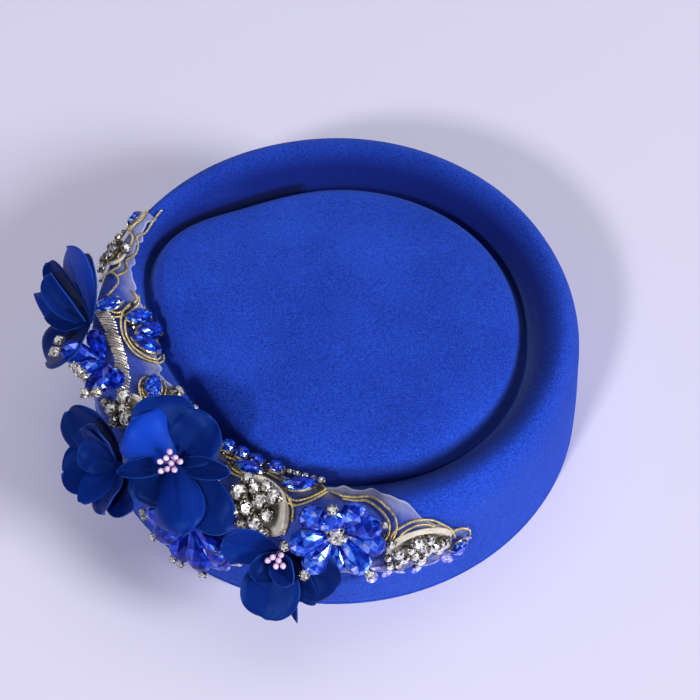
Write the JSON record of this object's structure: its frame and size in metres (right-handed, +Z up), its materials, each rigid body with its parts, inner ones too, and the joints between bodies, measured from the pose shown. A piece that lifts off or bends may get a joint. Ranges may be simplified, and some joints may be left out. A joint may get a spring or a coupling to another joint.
{
  "type": "pillbox hat with beaded floral applique",
  "caption": "Round felt pillbox hat, open below, with a rolled rim, a dished teardrop tip and a beaded floral applique along one side.",
  "frame": {"origin": "middle of the whole hat's footprint, trim included, on the surface that it rests on", "axes": "+Z up from the brim edge to the tip; the applique runs round the side from the far left (+Y, -X) to the front (-Y)"},
  "size_m": [0.217, 0.2182, 0.0759],
  "materials": {
    "felt": "royal blue wool felt, matt with a short nap",
    "organza": "sheer pale violet organza",
    "pad": "cream stitched padding",
    "purl": "pale coiled embroidery purl",
    "gold": "couched antique gold cord",
    "rhinestone": "clear foiled rhinestones in silver claws",
    "blue_stone": "foiled sapphire blue cut stones",
    "blue_drop": "faceted blue drop beads with a pale violet flash",
    "petal": "deep blue leatherette, soft satin",
    "stamen": "pearly lilac stamens"
  },
  "bodies": {
    "root": {"felt_hat": "felt", "organza_ground": "organza", "purl_band": "purl", "gold_edge_upper": "gold", "gold_edge_side": "gold", "gold_edge_lower": "gold", "pad_far": "pad", "pad_upper": "pad", "pad_middle": "pad", "pad_lower": "pad", "rhinestones_far": "rhinestone", "rhinestones_upper": "rhinestone", "rhinestones_middle": "rhinestone", "rhinestones_lower": "rhinestone", "marquise_far": "blue_stone", "marquise_left": "blue_stone", "marquise_leaf_1": "blue_stone", "marquise_leaf_2": "blue_stone", "marquise_leaf_3": "blue_stone", "marquise_side": "blue_stone", "marquise_inner": "blue_stone", "marquise_bright": "blue_stone", "marquise_end": "blue_stone", "round_side": "blue_stone", "round_blue_side": "blue_stone", "round_inner_1": "blue_stone", "round_inner_2": "blue_stone", "round_inner_3": "blue_stone", "round_inner_4": "blue_stone", "bead_flower_front_drop_1": "blue_drop", "bead_flower_front_drop_2": "blue_drop", "bead_flower_front_drop_3": "blue_drop", "bead_flower_front_drop_4": "blue_drop", "bead_flower_front_drop_5": "blue_drop", "bead_flower_front_drop_6": "blue_drop", "bead_flower_front_drop_7": "blue_drop", "bead_flower_front_drop_8": "blue_drop", "bead_flower_front_drop_9": "blue_drop", "bead_flower_front_crystal": "rhinestone", "bead_flower_side_drop_1": "blue_drop", "bead_flower_side_drop_2": "blue_drop", "bead_flower_side_drop_3": "blue_drop", "bead_flower_side_drop_4": "blue_drop", "bead_flower_corner_drop_1": "blue_drop", "bead_flower_corner_drop_2": "blue_drop", "bead_flower_corner_drop_3": "blue_drop", "bead_flower_corner_drop_4": "blue_drop", "bead_flower_corner_drop_5": "blue_drop", "flower_far_inner": "petal", "flower_far_outer": "petal", "flower_left_inner": "petal", "flower_left_outer": "petal", "flower_top_stamens": "stamen", "flower_top_inner": "petal", "flower_top_outer": "petal", "flower_lower_stamens": "stamen", "flower_lower_inner": "petal", "flower_lower_outer": "petal"}
  },
  "joints": []
}
